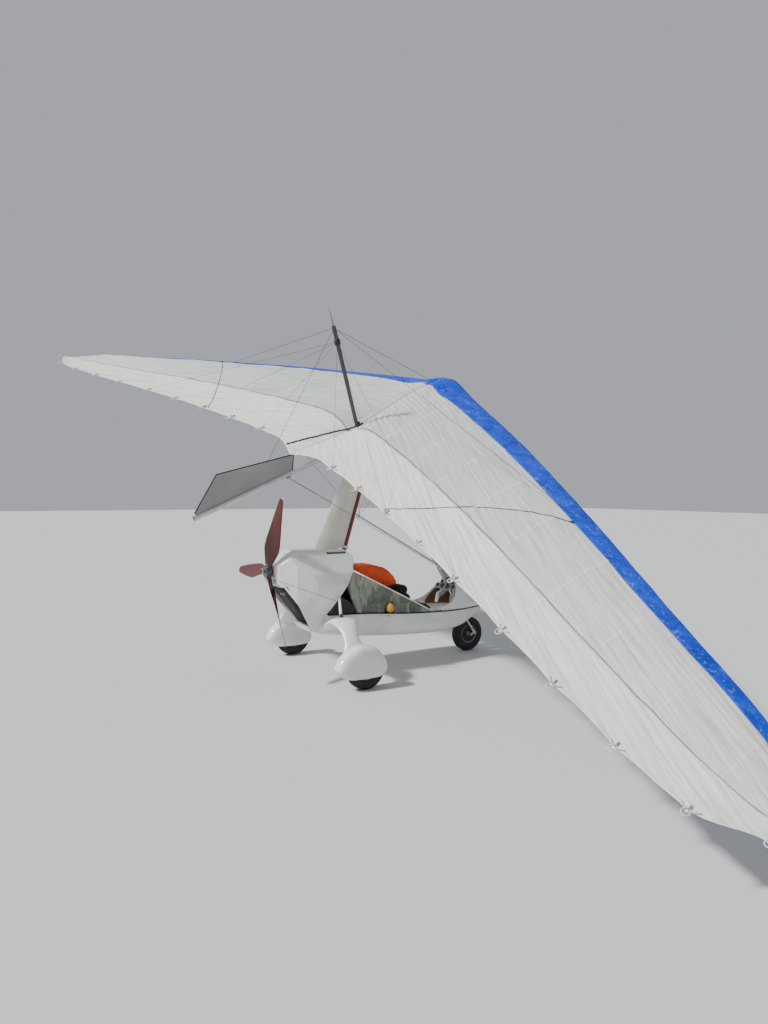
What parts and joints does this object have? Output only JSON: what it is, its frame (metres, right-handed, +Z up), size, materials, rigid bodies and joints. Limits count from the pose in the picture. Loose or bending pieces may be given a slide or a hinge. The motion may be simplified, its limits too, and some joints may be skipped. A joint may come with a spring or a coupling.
{
  "type": "microlight trike",
  "caption": "Flex-wing microlight aircraft: tandem pod on faired wheels, rear pusher propeller, and a cloth delta wing hung on a pylon over a control frame.",
  "frame": {"origin": "ground level, middle of the plan box of the parked aircraft with its wing tilted", "axes": "+X forward along the trike, +Y to the left wing, +Z up"},
  "size_m": [4.0946, 9.7192, 3.868],
  "materials": {
    "blue_cloth": "matt coated cloth",
    "sail_cloth": "matt woven polyester",
    "bare_alloy": "satin",
    "dark_alloy": "dark anodised",
    "stay_wire": "stranded wire",
    "maroon_paint": "gloss maroon",
    "white_gelcoat": "gloss white gelcoat",
    "panel_grey": "satin grey",
    "black_panel": "matt black",
    "smoke_screen": "brown tinted sheet",
    "clear_screen": "clear sheet",
    "seat_orange": "coated cloth",
    "seat_black": "coated cloth",
    "engine_iron": "dark",
    "hub_black": "satin dark grey",
    "maroon_blades": "gloss maroon composite",
    "tyre_rubber": "black rubber",
    "wheel_grey": "satin grey",
    "axle_steel": "satin"
  },
  "bodies": {
    "airframe": {"pylon_tube": "maroon_paint", "pylon_head": "bare_alloy", "pylon_fairing": "white_gelcoat", "front_strut": "bare_alloy", "strut_brackets": "bare_alloy", "chassis_beam": "bare_alloy", "pod_tub": "white_gelcoat", "beam_saddles": "bare_alloy", "nose_deck": "white_gelcoat", "instrument_panel": "panel_grey", "centre_console": "black_panel", "windscreen": "smoke_screen", "side_screens": "clear_screen", "rear_infills": "black_panel", "rear_seat": "seat_orange", "front_seat": "seat_black", "engine_mount": "bare_alloy", "upper_cowl": "white_gelcoat", "lower_cowl": "white_gelcoat", "engine_block": "engine_iron", "propeller_shaft": "hub_black", "spats": "white_gelcoat", "legs": "white_gelcoat", "suspension_struts": "white_gelcoat", "stub_axles": "axle_steel", "fuel_filler": "black_panel"},
    "wing": {"leading_edge_left": "blue_cloth", "sail_left": "sail_cloth", "leading_edge_right": "blue_cloth", "sail_right": "sail_cloth", "keel_tube": "bare_alloy", "keel_fin": "sail_cloth", "nose_plate": "bare_alloy", "kingpost": "dark_alloy", "base_bar": "bare_alloy", "corner_fittings": "bare_alloy", "frame_head": "bare_alloy", "uprights": "bare_alloy", "keel_fittings": "bare_alloy", "lower_wires": "stay_wire", "upper_wires": "stay_wire"},
    "hang": {"hang_bracket": "bare_alloy"},
    "propeller": {"propeller_hub": "hub_black", "propeller_blades": "maroon_blades"},
    "main_wheel_left": {"tyre_left": "tyre_rubber", "rim_left": "wheel_grey"},
    "main_wheel_right": {"tyre_right": "tyre_rubber", "rim_right": "wheel_grey"},
    "nose_fork": {"nose_fork": "axle_steel", "nose_axle": "axle_steel"},
    "nose_wheel": {"tyre_nose": "tyre_rubber", "rim_nose": "wheel_grey"}
  },
  "joints": [
    {"name": "wing_pitch", "type": "hinge", "parent": "airframe", "child": "hang", "pos_m": [0.49948, 0.09899, 2.41897], "axis": [0, 1, 0], "range_deg": [0, 14]},
    {"name": "wing_roll", "type": "hinge", "parent": "hang", "child": "wing", "pos_m": [0.46726, 0.09899, 2.49], "axis": [-0.9107, 0, -0.4131], "range_deg": [0, 42.8]},
    {"name": "propeller_spin", "type": "hinge", "parent": "airframe", "child": "propeller", "pos_m": [-0.71774, 0.09899, 1.078], "axis": [1, 0, 0], "continuous": true},
    {"name": "main_wheel_left_spin", "type": "hinge", "parent": "airframe", "child": "main_wheel_left", "pos_m": [-0.06274, 0.93499, 0.2], "axis": [0, 1, 0], "continuous": true},
    {"name": "main_wheel_right_spin", "type": "hinge", "parent": "airframe", "child": "main_wheel_right", "pos_m": [-0.06274, -0.73701, 0.2], "axis": [0, 1, 0], "continuous": true},
    {"name": "steering", "type": "hinge", "parent": "airframe", "child": "nose_fork", "pos_m": [1.7288, 0.09899, 0.41084], "axis": [-0.309, 0, 0.9511], "range_deg": [-30, 30]},
    {"name": "nose_wheel_spin", "type": "hinge", "parent": "nose_fork", "child": "nose_wheel", "pos_m": [1.81926, 0.09899, 0.2], "axis": [0, 1, 0], "continuous": true}
  ]
}
